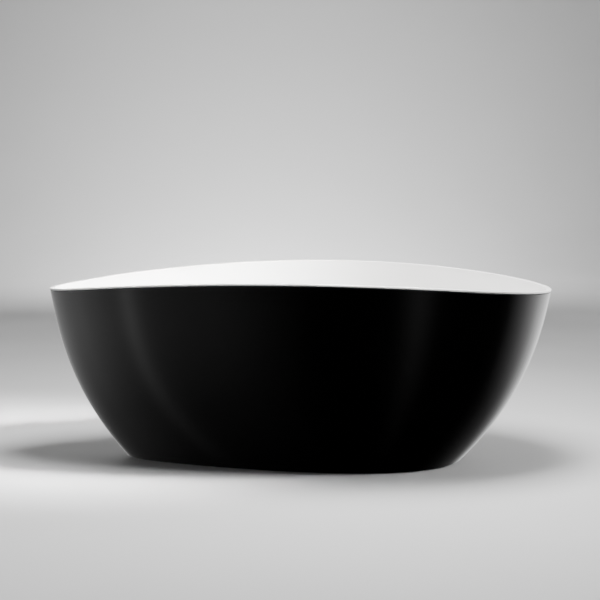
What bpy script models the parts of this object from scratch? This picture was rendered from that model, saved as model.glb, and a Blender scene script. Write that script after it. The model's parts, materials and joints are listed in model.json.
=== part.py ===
"""A freestanding bathtub: a white bowl in a black outer skirt, with its base, feet, waste and overflow.

Metres, +Z up. The origin is on the floor, at the middle of the length. The wide end is at +X.
"""

import math

import bmesh
import bpy
from mathutils import Matrix, Vector

GAP = 0.0003  # between faces that touch on the real tub
ROUND = 56  # points around the tub's outlines

# The outer skin: an egg-shaped plan that grows from the floor to a saddle-shaped rim.
LENGTH = 1.700
RIM_HALF_WIDTH = 0.380
RIM_EGG = (0.317, 0.011)  # how the half width grows with the cosine, and with its square
CROWN_HEIGHT = 0.642  # of the rim at mid length
END_HEIGHT = 0.586  # of the rim at both ends
FOOT_HALF_LENGTH = 0.572
FOOT_HALF_WIDTH = 0.231
FOOT_EGG = (0.452, 0.064)
FOOT_SHIFT = -0.018
SKIN_POWER = 2.56  # how soon the skin turns upright
SKIN_SLOPE = 0.37  # the share of its spread that is a straight slope

# The bowl, its lip and the joint under the lip.
LIP_WIDTH = 0.017
LIP_EDGE = 0.006
LIP_ROUND = 0.002
WALL = 0.005
JOINT = 0.0025  # between the lip and the skirt
SKIRT_CLEARANCE = 0.003  # between the skirt and the floor
SEAL_INSET = 0.0018
SEAL_ROOM = (0.0007, 0.0013)  # over the skirt's edge, which rises inwards: at the seal's outer and inner side
BOWL_FLOOR = 0.135
FLOOR_HALF_LENGTH = 0.500
FLOOR_HALF_WIDTH = 0.170
FLOOR_EGG = (0.40, 0.03)
FLOOR_SHIFT = -0.010
BOWL_POWER = 0.65  # how the bowl's wall runs out from the floor with its height
DRAIN_SEAT = 0.129  # height of the flat round the drain hole
DRAIN_HOLE = 0.0255
DRAIN_SEAT_RADIUS = 0.040
DRAIN_DISH_RADIUS = 0.075

# The base, from the board down to the floor.
BOARD_THICKNESS = 0.015
BOARD_HALF_LENGTH = 0.450
BOARD_HALF_WIDTH = 0.145
BOARD_HOLE = 0.082
TUBE = 0.025  # side of the square steel tube
TUBE_WALL = 0.002
RAIL_SPACING = 0.140
RAIL_ENDS = (-0.420, 0.440)
CROSS_BARS = {"left": (-0.360, 0.100), "right": (0.380, 0.150)}  # x, and the feet's y
CROSS_OVERHANG = 0.020
SCREW_RADIUS = 0.0038
BOARD_TOP = BOWL_FLOOR - WALL - GAP
RAIL_TOP = BOARD_TOP - BOARD_THICKNESS - GAP
CROSS_TOP = RAIL_TOP - TUBE - GAP
CROSS_BOTTOM = CROSS_TOP - TUBE
SCREW_TIP_COVER = 0.004  # of board left over the coach screws' tips
SCREW_HEAD_RADIUS = 0.0075
SCREW_HEAD_HEIGHT = 0.006
STUD_RADIUS = 0.0050
STUD_BORE = STUD_RADIUS + GAP
STUD_REACH = 0.018  # of the stud into its cross bar
STUD_HEX_RADIUS = 0.0085
STUD_HEX_SPAN = (0.016, 0.024)
INSERT_RADIUS = 0.0087
INSERT_DEPTH = 0.016
INSERT_FLANGE_RADIUS = 0.0125
INSERT_FLANGE = 0.003
LOCK_NUT_RADIUS = 0.0098
LOCK_NUT_HEIGHT = 0.006
PAD_RADIUS = 0.025
PAD_RIM = 0.003
PAD_SOCKET = 0.006  # height of its socket's floor, where the stud turns
PAD_BOSS_RADIUS = 0.013
PAD_HEIGHT = 0.012

# The waste and the overflow.
DRAIN_FLANGE_RADIUS = 0.0365
DRAIN_FLANGE_HEIGHT = 0.0044
DRAIN_GASKET = 0.001
TAIL_RADIUS = 0.0235
TAIL_BORE = 0.0205
TAIL_END = 0.080
WASTE_SEAL = 0.0025
WASTE_FLANGE_RADIUS = 0.0370
WASTE_FLANGE = 0.003
NECK_RADIUS = 0.0285
NECK_END = 0.048
SUMP_FLOOR = 0.052
THREAD_RADIUS = 0.0215
THREAD_END = 0.034
NUT_RADIUS = 0.0275
NUT_SPAN = (0.028, 0.047)
PIPE_COLLAR = 0.0023
BRANCH_HEIGHT = 0.066
BRANCH_REACH = 0.058
SPIGOT_RADIUS = 0.0092
SPIGOT_BORE = 0.0072
HOSE_RADIUS = 0.012
HOSE_BORE = 0.0103
CLAMP_RADIUS = 0.0134
CLAMP_WIDTH = 0.008
PIPE_RADIUS = 0.020
PIPE_BORE = 0.0175
PIPE_END = 0.012
PLUG_TRAVEL = 0.009
HUB_TOP = 0.118
HUB_HEIGHT = 0.006
HUB_RADIUS = 0.0105
SPOKE_HALF_WIDTH = 0.0015
STEM_RADIUS = 0.004
STEM_STOP_RADIUS = 0.0075
STEM_STOP = 0.003
STEM_TAIL = 0.009  # of the stem below its stop
PLUG_RADIUS = 0.033
PLUG_HEIGHT = 0.0045
PLUG_BOSS_RADIUS = 0.015
PLUG_BOSS = 0.006
PLUG_SEAL_RADIUS = 0.0265
PLUG_SEAL = 0.002
SPRING_RADIUS = 0.008
SPRING_WIRE = 0.0008
SPRING_TURNS = 5
OVERFLOW_SHARE = 0.66  # of the bowl's depth, measured up from its floor
OVERFLOW_HOLE = 0.0245
OVERFLOW_STANDOFF = 0.0014  # of its flanges from the curved wall
COLLAR_RADIUS = 0.031
COLLAR_HEIGHT = 0.0018
COLLAR_END = -0.012
WEB_SPAN = (-0.009, -0.005)  # of the collar's web, which the cover's screw goes into
WEB_HALF_WIDTH = 0.0035
BOLT_RADIUS = 0.0024
BOLT_HEAD_RADIUS = 0.0045
COVER_RADIUS = 0.033
COVER_SPAN = (0.0045, 0.0117)
COVER_WALL = 0.002
COVER_BOSS_RADIUS = 0.006
ELBOW_FLANGE_RADIUS = 0.034
ELBOW_FLANGE = 0.003
ELBOW_RADIUS = 0.0265
ELBOW_BORE = 0.0240
ELBOW_END = -0.0320
SPIGOT_DEPTH = 0.020  # of the elbow's spigot behind the bowl's face
SPIGOT_REACH = 0.058
HOSE_TOP = (-0.036, -0.062, -0.088)  # straight down over the elbow's spigot, on the overflow's axes
HOSE_FALL = ((0.313, 0.330), (0.288, 0.255), (0.254, 0.180), (0.205, 0.104), (0.140, 0.069))  # y and z
HOSE_END = (0.096, 0.065, 0.034)  # y, straight over the waste's branch


def clear_scene():
    for thing in list(bpy.data.objects):
        bpy.data.objects.remove(thing, do_unlink=True)


def new_collection(name):
    collection = bpy.data.collections.new(name)
    bpy.context.scene.collection.children.link(collection)
    return collection


def new_material(name, colour, roughness, metallic=0.0):
    material = bpy.data.materials.new(name)
    material.use_nodes = True
    shader = material.node_tree.nodes["Principled BSDF"]
    shader.inputs["Base Color"].default_value = (*colour, 1.0)
    shader.inputs["Roughness"].default_value = roughness
    shader.inputs["Metallic"].default_value = metallic
    return material


clear_scene()
TUB = new_collection("freestanding_bathtub")
CUTTERS = new_collection("cutters")
MATERIALS = {
    "bowl": new_material("white_acrylic", (0.86, 0.86, 0.85), 0.25),
    "skirt": new_material("black_acrylic", (0.010, 0.010, 0.011), 0.35),
    "rubber": new_material("black_rubber", (0.02, 0.02, 0.02), 0.7),
    "board": new_material("sealed_chipboard", (0.45, 0.35, 0.22), 0.8),
    "steel": new_material("zinc_steel", (0.55, 0.56, 0.57), 0.45, 1.0),
    "chrome": new_material("chromed_brass", (0.80, 0.80, 0.82), 0.08, 1.0),
    "plastic": new_material("waste_plastic", (0.04, 0.04, 0.045), 0.5),
    "hose": new_material("grey_hose", (0.35, 0.36, 0.37), 0.6),
}


def finish(obj, material, parent=None):
    """Puts a sub-part in the tub's collection, with its material and its parent empty."""
    TUB.objects.link(obj)
    obj.data.materials.append(MATERIALS[material])
    obj.parent = parent
    return obj


def tool(obj, parent=None):
    """Keeps a shape only to cut or join with: it is drawn as wire and never rendered."""
    CUTTERS.objects.link(obj)
    obj.hide_render = True
    obj.display_type = "WIRE"
    obj.parent = parent
    return obj


def new_axis(name, location, rotation=None):
    empty = bpy.data.objects.new(name, None)
    TUB.objects.link(empty)
    empty.matrix_world = Matrix.Translation(location) @ (rotation or Matrix())
    return empty


def smooth(mesh):
    mesh.shade_smooth()
    mesh.set_sharp_from_angle(angle=math.radians(35))


def loft(name, rings, closed_section=False):
    """Quads between rings of equal counts. A closed section joins the last ring to the first."""
    work = bmesh.new()
    rows = [[work.verts.new(point) for point in ring] for ring in rings]
    uppers = rows[1:] + rows[:1] if closed_section else rows[1:]
    for lower, upper in zip(rows, uppers):
        for i in range(len(lower)):
            j = (i + 1) % len(lower)
            work.faces.new((lower[i], lower[j], upper[j], upper[i]))
    mesh = bpy.data.meshes.new(name)
    work.to_mesh(mesh)
    work.free()
    smooth(mesh)
    return bpy.data.objects.new(name, mesh)


def turned(name, profile, steps=20, closed=True):
    """A profile of (radius, height) points turned about Z. It runs down its outer side."""
    count = len(profile)
    edges = [(i, (i + 1) % count) for i in range(count if closed else count - 1)]
    mesh = bpy.data.meshes.new(name)
    mesh.from_pydata([(radius, 0.0, height) for radius, height in profile], edges, [])
    obj = bpy.data.objects.new(name, mesh)
    screw = obj.modifiers.new("turn", "SCREW")
    screw.steps = screw.render_steps = steps
    screw.use_merge_vertices = True
    screw.merge_threshold = 0.00001
    return obj


def ring_of(name, inner, outer, bottom, top, steps=20):
    """A plain ring, such as a washer or a length of pipe."""
    return turned(name, [(inner, top), (outer, top), (outer, bottom), (inner, bottom)], steps)


def rod(name, radius, start, end, sides=12):
    """A closed cylinder between two points."""
    start, end = Vector(start), Vector(end)
    work = bmesh.new()
    bmesh.ops.create_cone(
        work, cap_ends=True, segments=sides, radius1=radius, radius2=radius, depth=(end - start).length
    )
    mesh = bpy.data.meshes.new(name)
    turn = (end - start).to_track_quat("Z", "Y").to_matrix().to_4x4()
    work.transform(Matrix.Translation((start + end) / 2) @ turn)
    work.to_mesh(mesh)
    work.free()
    return bpy.data.objects.new(name, mesh)


def block(name, low, high):
    """A closed box between two corners."""
    low, high = Vector(low), Vector(high)
    work = bmesh.new()
    bmesh.ops.create_cube(work, size=1.0)
    work.transform(Matrix.Translation((low + high) / 2) @ Matrix.Diagonal((*(high - low), 1.0)))
    mesh = bpy.data.meshes.new(name)
    work.to_mesh(mesh)
    work.free()
    return bpy.data.objects.new(name, mesh)


def outline(name, loops, thickness):
    """Flat loops in XY, made solid by half the thickness up and half down."""
    curve = bpy.data.curves.new(name, "CURVE")
    curve.dimensions = "2D"
    curve.fill_mode = "BOTH"
    curve.extrude = thickness / 2
    for loop in loops:
        spline = curve.splines.new("POLY")
        spline.points.add(len(loop) - 1)
        spline.use_cyclic_u = True
        for point, (x, y) in zip(spline.points, loop):
            point.co = (x, y, 0.0, 1.0)
    return bpy.data.objects.new(name, curve)


def tube(name, route, radius):
    """A round tube along a route of points, with closed ends."""
    curve = bpy.data.curves.new(name, "CURVE")
    curve.dimensions = "3D"
    curve.bevel_depth = radius
    curve.bevel_resolution = 2
    curve.use_fill_caps = True
    spline = curve.splines.new("POLY")
    spline.points.add(len(route) - 1)
    for point, place in zip(spline.points, route):
        point.co = (*place, 1.0)
    return bpy.data.objects.new(name, curve)


def as_mesh(obj):
    """A curve object made a mesh object in the same place, with its caps welded on."""
    bpy.context.scene.collection.objects.link(obj)
    bpy.context.view_layer.update()
    mesh = bpy.data.meshes.new_from_object(obj.evaluated_get(bpy.context.evaluated_depsgraph_get()))
    work = bmesh.new()
    work.from_mesh(mesh)
    bmesh.ops.remove_doubles(work, verts=work.verts, dist=0.000001)
    bmesh.ops.recalc_face_normals(work, faces=work.faces)
    work.to_mesh(mesh)
    work.free()
    solid = bpy.data.objects.new(obj.name, mesh)
    solid.matrix_world = obj.matrix_world
    name = obj.name
    bpy.data.objects.remove(obj, do_unlink=True)
    solid.name = mesh.name = name
    return solid


def boolean(obj, other, operation):
    modifier = obj.modifiers.new(operation.lower(), "BOOLEAN")
    modifier.operation = operation
    modifier.solver = "EXACT"
    modifier.object = other


def egg(angle, half_length, half_width, swell, shift=0.0):
    """A point of an egg-shaped outline, at an angle round its middle."""
    cosine = math.cos(angle)
    width = half_width * (1 + swell[0] * cosine + swell[1] * cosine**2)
    return Vector((half_length * cosine + shift, width * math.sin(angle)))


def rim_outline(angle):
    return egg(angle, LENGTH / 2, RIM_HALF_WIDTH, RIM_EGG)


def rim_height(x):
    return CROWN_HEIGHT - (CROWN_HEIGHT - END_HEIGHT) * (2 * x / LENGTH) ** 2


def rim_point(angle, inset, drop):
    """A point of the lip: inset from the rim's outline, and drop below its top."""
    step = 0.001
    along = (rim_outline(angle + step) - rim_outline(angle - step)).normalized()
    edge = rim_outline(angle)
    flat = edge + Vector((-along.y, along.x)) * inset
    return Vector((*flat, rim_height(edge.x) - drop))


def skin_point(angle, height_share):
    """A point of the outer skin, from 0 on the floor to 1 at the rim."""
    foot = egg(angle, FOOT_HALF_LENGTH, FOOT_HALF_WIDTH, FOOT_EGG, FOOT_SHIFT)
    rim = rim_outline(angle)
    curved = 1 - (1 - height_share) ** SKIN_POWER
    spread = (1 - SKIN_SLOPE) * curved + SKIN_SLOPE * height_share
    return Vector((*foot.lerp(rim, spread), height_share * rim_height(rim.x)))


def bowl_point(angle, height_share):
    """A point of the bowl's inner face, from 0 at its floor to 1 at the lip."""
    foot = egg(angle, FLOOR_HALF_LENGTH, FLOOR_HALF_WIDTH, FLOOR_EGG, FLOOR_SHIFT)
    top = rim_point(angle, LIP_WIDTH, LIP_ROUND)
    height = BOWL_FLOOR + (top.z - BOWL_FLOOR) * height_share
    return Vector((*foot.lerp(top.xy, height_share**BOWL_POWER), height))


def around(point_at, count=ROUND):
    """One ring: a point for each angle round the tub."""
    return [point_at(2 * math.pi * i / count) for i in range(count)]


def offset_rings(rings, distance):
    """The rings moved along the normals of the surface through them."""
    moved = []
    for k, ring in enumerate(rings):
        before, after = rings[max(k - 1, 0)], rings[min(k + 1, len(rings) - 1)]
        row = []
        for j, point in enumerate(ring):
            side = ring[(j + 1) % len(ring)] - ring[j - 1]
            normal = side.cross(after[j] - before[j]).normalized()
            row.append(point + normal * distance)
        moved.append(row)
    return moved


def circle_ring(radius, height):
    return around(lambda angle: Vector((radius * math.cos(angle), radius * math.sin(angle), height)))


def make_bowl():
    """One closed section, swept round: lip, inner wall, floor and drain edge, and back underneath."""
    small = LIP_ROUND * (1 - math.sqrt(0.5))
    section = [
        (0.0, LIP_EDGE),
        (0.0, LIP_ROUND),
        (small, small),
        (LIP_ROUND, 0.0),
        (LIP_WIDTH - LIP_ROUND, 0.0),
        (LIP_WIDTH - small, small),
    ]
    lip = [around(lambda angle: rim_point(angle, inset, drop)) for inset, drop in section]
    wall_steps = 9
    shares = [(1 - k / wall_steps) ** 2 for k in range(wall_steps + 1)]
    face = [around(lambda angle: bowl_point(angle, share)) for share in shares]
    face.append(circle_ring(DRAIN_DISH_RADIUS, BOWL_FLOOR))
    face.append(circle_ring(DRAIN_SEAT_RADIUS, DRAIN_SEAT))
    face.append(circle_ring(DRAIN_HOLE, DRAIN_SEAT))
    hidden = offset_rings(face, -WALL)[:0:-1]
    under_lip = around(lambda angle: rim_point(angle, LIP_WIDTH - WALL, LIP_EDGE))
    bowl = loft("inner_basin", lip + face + hidden + [under_lip], closed_section=True)
    return finish(bowl, "bowl")


def make_skirt():
    """The outer skin as an open surface, thickened inwards and rounded along its edges."""
    rows = 8

    def share_at(angle, k):
        top = rim_height(rim_outline(angle).x)
        low, high = SKIRT_CLEARANCE / top, 1 - (LIP_EDGE + JOINT) / top
        return low + (high - low) * (k / rows) ** 1.3

    rings = [around(lambda angle: skin_point(angle, share_at(angle, k))) for k in range(rows + 1)]
    skirt = finish(loft("outer_shell", rings), "skirt")
    thick = skirt.modifiers.new("thickness", "SOLIDIFY")
    thick.thickness = WALL
    thick.offset = -1.0
    thick.use_even_offset = True
    edges = skirt.modifiers.new("rounded edges", "BEVEL")
    edges.width = 0.0015
    edges.segments = 1
    edges.limit_method = "ANGLE"
    edges.angle_limit = math.radians(50)
    return skirt


def make_seal():
    """The dark strip in the joint between the lip and the skirt, set back from the skin."""
    high = LIP_EDGE + GAP
    outer_low, inner_low = (LIP_EDGE + JOINT - room for room in SEAL_ROOM)
    section = [(SEAL_INSET, outer_low), (SEAL_INSET, high), (WALL, high), (WALL, inner_low)]
    rings = [around(lambda angle: rim_point(angle, inset, drop)) for inset, drop in section]
    return finish(loft("rim_seal", rings, closed_section=True), "rubber")


def screw_places():
    return [(x, side * RAIL_SPACING / 2) for x, _ in CROSS_BARS.values() for side in (-1, 1)]


def make_board():
    board_size = (BOARD_HALF_LENGTH, BOARD_HALF_WIDTH, FLOOR_EGG, FLOOR_SHIFT)
    edge = [tuple(point) for point in around(lambda angle: egg(angle, *board_size), 40)]
    hole = [(point.x, point.y) for point in circle_ring(BOARD_HOLE, 0.0)[::2]]
    shape = outline("base_board", [edge, hole], BOARD_THICKNESS)
    shape.location.z = BOARD_TOP - BOARD_THICKNESS / 2
    return finish(as_mesh(shape), "board")


def square_loop(side):
    half = side / 2
    return [(-half, -half), (half, -half), (half, half), (-half, half)]


def square_tube(name, start, end):
    """A hollow square tube between two points at one height."""
    shape = outline(name, [square_loop(TUBE), square_loop(TUBE - 2 * TUBE_WALL)], (end - start).length)
    turn = (end - start).to_track_quat("Z", "Y").to_matrix().to_4x4()
    shape.matrix_world = Matrix.Translation((start + end) / 2) @ turn
    return finish(as_mesh(shape), "steel")


def make_frame(board):
    """Two rails, two cross bars under them, and four coach screws up into the board."""
    rails, bars = {}, {}
    rail_middle = RAIL_TOP - TUBE / 2
    cross_middle = CROSS_TOP - TUBE / 2
    for name, side in (("front", -1), ("back", 1)):
        y = side * RAIL_SPACING / 2
        start, end = (Vector((x, y, rail_middle)) for x in RAIL_ENDS)
        rails[side] = square_tube(f"frame_rail_{name}", start, end)
    for name, (x, foot_y) in CROSS_BARS.items():
        reach = foot_y + CROSS_OVERHANG
        start, end = Vector((x, -reach, cross_middle)), Vector((x, reach, cross_middle))
        bars[x] = square_tube(f"cross_bar_{name}", start, end)
    tip = BOARD_TOP - SCREW_TIP_COVER
    for number, (x, y) in enumerate(screw_places(), 1):
        below, above = (x, y, CROSS_BOTTOM - SCREW_HEAD_HEIGHT), (x, y, tip + GAP)
        hole = tool(rod(f"screw_hole_{number}", SCREW_RADIUS + GAP, below, above))
        for solid in (bars[x], rails[math.copysign(1, y)], board):
            boolean(solid, hole, "DIFFERENCE")
        shank_start = (x, y, CROSS_BOTTOM - SCREW_HEAD_HEIGHT / 2)
        screw = finish(rod(f"frame_screw_{number}", SCREW_RADIUS, shank_start, (x, y, tip)), "steel")
        head = rod(f"screw_head_{number}", SCREW_HEAD_RADIUS, below, (x, y, CROSS_BOTTOM - GAP), 6)
        boolean(screw, tool(head), "UNION")
    return bars


def make_feet(bars):
    """Under each end of each cross bar: a threaded insert, a stud, its lock nut and a pad."""
    flange = CROSS_BOTTOM - GAP
    insert_top = CROSS_BOTTOM + INSERT_DEPTH
    nut_top = flange - INSERT_FLANGE - GAP
    hex_low, hex_high = STUD_HEX_SPAN
    insert = [
        (STUD_BORE, insert_top),
        (INSERT_RADIUS, insert_top),
        (INSERT_RADIUS, flange),
        (INSERT_FLANGE_RADIUS, flange),
        (INSERT_FLANGE_RADIUS, flange - INSERT_FLANGE),
        (STUD_BORE, flange - INSERT_FLANGE),
    ]
    pad = [
        (0.0, PAD_SOCKET),
        (STUD_BORE, PAD_SOCKET),
        (STUD_BORE, PAD_HEIGHT),
        (PAD_BOSS_RADIUS, PAD_HEIGHT),
        (PAD_RADIUS - 0.002, 2 * PAD_RIM),
        (PAD_RADIUS, PAD_RIM),
        (PAD_RADIUS, 0.0),
        (0.0, 0.0),
    ]
    places = [(x, side * foot_y) for x, foot_y in CROSS_BARS.values() for side in (-1, 1)]
    for number, (x, y) in enumerate(places, 1):
        axis = new_axis(f"foot_axis_{number}", (x, y, 0.0))
        hole_end = (0, 0, CROSS_BOTTOM + TUBE / 4)
        hole = rod(f"foot_hole_{number}", INSERT_RADIUS + GAP, (0, 0, hex_high), hole_end)
        boolean(bars[x], tool(hole, axis), "DIFFERENCE")
        finish(turned(f"foot_insert_{number}", insert, 12), "steel", axis)
        nut_bottom = nut_top - LOCK_NUT_HEIGHT
        nut = rod(f"foot_lock_nut_{number}", LOCK_NUT_RADIUS, (0, 0, nut_bottom), (0, 0, nut_top), 6)
        nut_bore = rod(f"nut_bore_{number}", STUD_BORE, (0, 0, hex_high), (0, 0, CROSS_TOP))
        boolean(finish(nut, "steel", axis), tool(nut_bore, axis), "DIFFERENCE")
        stud_low, stud_high = (0, 0, PAD_SOCKET + GAP), (0, 0, CROSS_BOTTOM + STUD_REACH)
        stud = rod(f"foot_stud_{number}", STUD_RADIUS, stud_low, stud_high)
        spanner_hex = rod(f"stud_hex_{number}", STUD_HEX_RADIUS, (0, 0, hex_low), (0, 0, hex_high), 6)
        boolean(finish(stud, "steel", axis), tool(spanner_hex, axis), "UNION")
        finish(turned(f"foot_pad_{number}", pad, 16, closed=False), "rubber", axis)


def make_drain(axis):
    """The flange in the bowl's floor, its tail with the plug's guide, and its gasket. Gives its top."""
    seat = DRAIN_SEAT + GAP
    gasket_top = seat + DRAIN_GASKET
    gasket = ring_of("drain_gasket", DRAIN_HOLE + 0.001, DRAIN_FLANGE_RADIUS - 0.002, seat, gasket_top)
    finish(gasket, "rubber", axis)
    bottom = gasket_top + GAP
    top = bottom + DRAIN_FLANGE_HEIGHT
    flange = [
        (TAIL_BORE, top - 0.0008),
        (TAIL_BORE + 0.001, top),
        (DRAIN_FLANGE_RADIUS - 0.0025, top - 0.0005),
        (DRAIN_FLANGE_RADIUS, top - 0.0025),
        (DRAIN_FLANGE_RADIUS, bottom),
        (TAIL_RADIUS, bottom),
        (TAIL_RADIUS, TAIL_END),
        (TAIL_BORE, TAIL_END),
    ]
    drain = finish(turned("drain_flange", flange, 24), "chrome", axis)
    hub_bottom = HUB_TOP - HUB_HEIGHT
    reach = (TAIL_BORE + TAIL_RADIUS) / 2
    hub = rod("drain_hub", HUB_RADIUS, (0, 0, hub_bottom), (0, 0, HUB_TOP), 16)
    boolean(drain, tool(hub, axis), "UNION")
    for number, (x, y) in enumerate(((reach, SPOKE_HALF_WIDTH), (SPOKE_HALF_WIDTH, reach)), 1):
        spoke = block(f"drain_spoke_{number}", (-x, -y, hub_bottom + 0.001), (x, y, HUB_TOP - 0.001))
        boolean(drain, tool(spoke, axis), "UNION")
    guide = rod("stem_guide", STEM_RADIUS + GAP, (0, 0, hub_bottom - 0.01), (0, 0, HUB_TOP + 0.01))
    boolean(drain, tool(guide, axis), "DIFFERENCE")
    return top


def make_waste(axis):
    """Under the bowl: seal, body with the overflow's branch, union nut and pipe."""
    under = DRAIN_SEAT - WALL - GAP
    top = under - WASTE_SEAL - GAP
    seal = ring_of("waste_seal", DRAIN_HOLE + 0.001, WASTE_FLANGE_RADIUS, under - WASTE_SEAL, under)
    finish(seal, "rubber", axis)
    body = [
        (TAIL_RADIUS + GAP, top),
        (WASTE_FLANGE_RADIUS, top),
        (WASTE_FLANGE_RADIUS, top - WASTE_FLANGE),
        (NECK_RADIUS, top - WASTE_FLANGE),
        (NECK_RADIUS, NECK_END),
        (THREAD_RADIUS, NECK_END),
        (THREAD_RADIUS, THREAD_END),
        (PIPE_BORE, THREAD_END),
        (PIPE_BORE, SUMP_FLOOR),
        (TAIL_RADIUS + GAP, SUMP_FLOOR),
    ]
    waste = finish(turned("waste_body", body, 24), "plastic", axis)
    depths = (NECK_RADIUS / 3, NECK_RADIUS - 0.002, BRANCH_REACH, BRANCH_REACH + 0.010)
    inside, near, end, beyond = ((0, y, BRANCH_HEIGHT) for y in depths)
    spigot = rod("waste_spigot", SPIGOT_RADIUS, near, end)
    bore = rod("waste_spigot_bore", SPIGOT_BORE, inside, beyond)
    boolean(waste, tool(spigot, axis), "UNION")
    boolean(waste, tool(bore, axis), "DIFFERENCE")

    collar_top = THREAD_END - GAP
    collar_bottom = collar_top - PIPE_COLLAR
    nut_low, nut_high = NUT_SPAN
    nut = [
        (THREAD_RADIUS + GAP, nut_high),
        (NUT_RADIUS, nut_high),
        (NUT_RADIUS, nut_low),
        (PIPE_RADIUS + GAP, nut_low),
        (PIPE_RADIUS + GAP, collar_bottom - GAP),
        (THREAD_RADIUS + GAP, collar_bottom - GAP),
    ]
    finish(turned("waste_nut", nut), "plastic", axis)
    pipe = [
        (PIPE_BORE, collar_top),
        (THREAD_RADIUS - GAP, collar_top),
        (THREAD_RADIUS - GAP, collar_bottom),
        (PIPE_RADIUS, collar_bottom),
        (PIPE_RADIUS, PIPE_END),
        (PIPE_BORE, PIPE_END),
    ]
    finish(turned("waste_pipe", pipe), "plastic", axis)


def make_plug(axis, flange_top):
    """The sprung plug, drawn raised: a cap on a stem, its seal, and the spring on the drain's hub."""
    seal_bottom = flange_top + GAP + PLUG_TRAVEL
    cap_bottom = seal_bottom + PLUG_SEAL + GAP
    cap_top = cap_bottom + PLUG_HEIGHT
    boss_bottom = cap_bottom - PLUG_BOSS
    socket_top = cap_bottom - 0.0005
    cap = [
        (0.0, cap_top),
        (PLUG_RADIUS - 0.003, cap_top - 0.0005),
        (PLUG_RADIUS, cap_top - 0.0017),
        (PLUG_RADIUS, cap_bottom),
        (PLUG_BOSS_RADIUS, cap_bottom),
        (PLUG_BOSS_RADIUS, boss_bottom),
        (STEM_RADIUS + GAP, boss_bottom),
        (STEM_RADIUS + GAP, socket_top),
        (0.0, socket_top),
    ]
    finish(turned("plug_cap", cap, 24, closed=False), "chrome", axis)
    seal = ring_of("plug_seal", PLUG_BOSS_RADIUS + GAP, PLUG_SEAL_RADIUS, seal_bottom, seal_bottom + PLUG_SEAL)
    finish(seal, "rubber", axis)
    stop_top = HUB_TOP - HUB_HEIGHT - GAP
    stop_bottom = stop_top - STEM_STOP
    stem = [
        (0.0, socket_top - GAP),
        (STEM_RADIUS, socket_top - GAP),
        (STEM_RADIUS, stop_top),
        (STEM_STOP_RADIUS, stop_top),
        (STEM_STOP_RADIUS, stop_bottom),
        (STEM_RADIUS, stop_bottom),
        (STEM_RADIUS, stop_bottom - STEM_TAIL),
        (0.0, stop_bottom - STEM_TAIL),
    ]
    finish(turned("plug_stem", stem, 16, closed=False), "chrome", axis)
    low = HUB_TOP + SPRING_WIRE + GAP
    high = boss_bottom - SPRING_WIRE - GAP
    points_a_turn = 12
    coil = []
    for i in range(SPRING_TURNS * points_a_turn + 1):
        angle = 2 * math.pi * i / points_a_turn
        height = low + (high - low) * i / (SPRING_TURNS * points_a_turn)
        coil.append((SPRING_RADIUS * math.cos(angle), SPRING_RADIUS * math.sin(angle), height))
    spring = tube("plug_spring", coil, SPRING_WIRE)
    spring.data.bevel_resolution = 0
    finish(spring, "steel", axis)


def overflow_frame():
    """The overflow's axis in the back wall: local Z points into the bowl, and local Y up the wall."""
    angle, step = math.pi / 2, 0.01
    place = bowl_point(angle, OVERFLOW_SHARE)
    up = (bowl_point(angle, OVERFLOW_SHARE + step) - place).normalized()
    side = (bowl_point(angle - step, OVERFLOW_SHARE) - place).normalized()
    inwards = side.cross(up).normalized()
    up = inwards.cross(side)
    turn = Matrix((side, up, inwards)).transposed().to_4x4()
    return new_axis("overflow_axis", place, turn)


def make_overflow_trim(axis):
    """On the bowl's face: the collar with its web, the cover, and the screw that holds the cover."""
    tail = OVERFLOW_HOLE - 0.0013
    collar_top = OVERFLOW_STANDOFF + COLLAR_HEIGHT
    collar = [
        (TAIL_BORE, collar_top),
        (COLLAR_RADIUS - 0.001, collar_top),
        (COLLAR_RADIUS, collar_top - 0.0008),
        (COLLAR_RADIUS, OVERFLOW_STANDOFF),
        (tail, OVERFLOW_STANDOFF),
        (tail, COLLAR_END),
        (TAIL_BORE, COLLAR_END),
    ]
    ring = finish(turned("overflow_collar", collar, 24), "chrome", axis)
    reach = (tail + TAIL_BORE) / 2
    web_back, web_front = WEB_SPAN
    web = block("overflow_web", (-reach, -WEB_HALF_WIDTH, web_back), (reach, WEB_HALF_WIDTH, web_front))
    bolt_hole = rod("overflow_bolt_hole", BOLT_RADIUS + GAP, (0, 0, 2 * web_back), (0, 0, 0))
    boolean(ring, tool(web, axis), "UNION")
    boolean(ring, tool(bolt_hole, axis), "DIFFERENCE")
    boss_end = web_front + GAP
    cover_back, cover_front = COVER_SPAN
    inside = cover_front - COVER_WALL
    cover = [
        (BOLT_RADIUS + GAP, cover_front),
        (COVER_RADIUS - COVER_WALL, cover_front),
        (COVER_RADIUS, cover_front - 0.0012),
        (COVER_RADIUS, cover_back),
        (COVER_RADIUS - COVER_WALL, cover_back),
        (COVER_RADIUS - COVER_WALL, inside),
        (COVER_BOSS_RADIUS, inside),
        (COVER_BOSS_RADIUS, boss_end),
        (BOLT_RADIUS + GAP, boss_end),
    ]
    finish(turned("overflow_cover", cover, 24), "chrome", axis)
    seat = cover_front + GAP
    bolt = [
        (0.0, seat + 0.0020),
        (BOLT_HEAD_RADIUS - 0.0015, seat + 0.0017),
        (BOLT_HEAD_RADIUS, seat + 0.0008),
        (BOLT_HEAD_RADIUS, seat),
        (BOLT_RADIUS, seat),
        (BOLT_RADIUS, COLLAR_END),
        (0.0, COLLAR_END),
    ]
    finish(turned("overflow_bolt", bolt, 12, closed=False), "chrome", axis)


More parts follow.
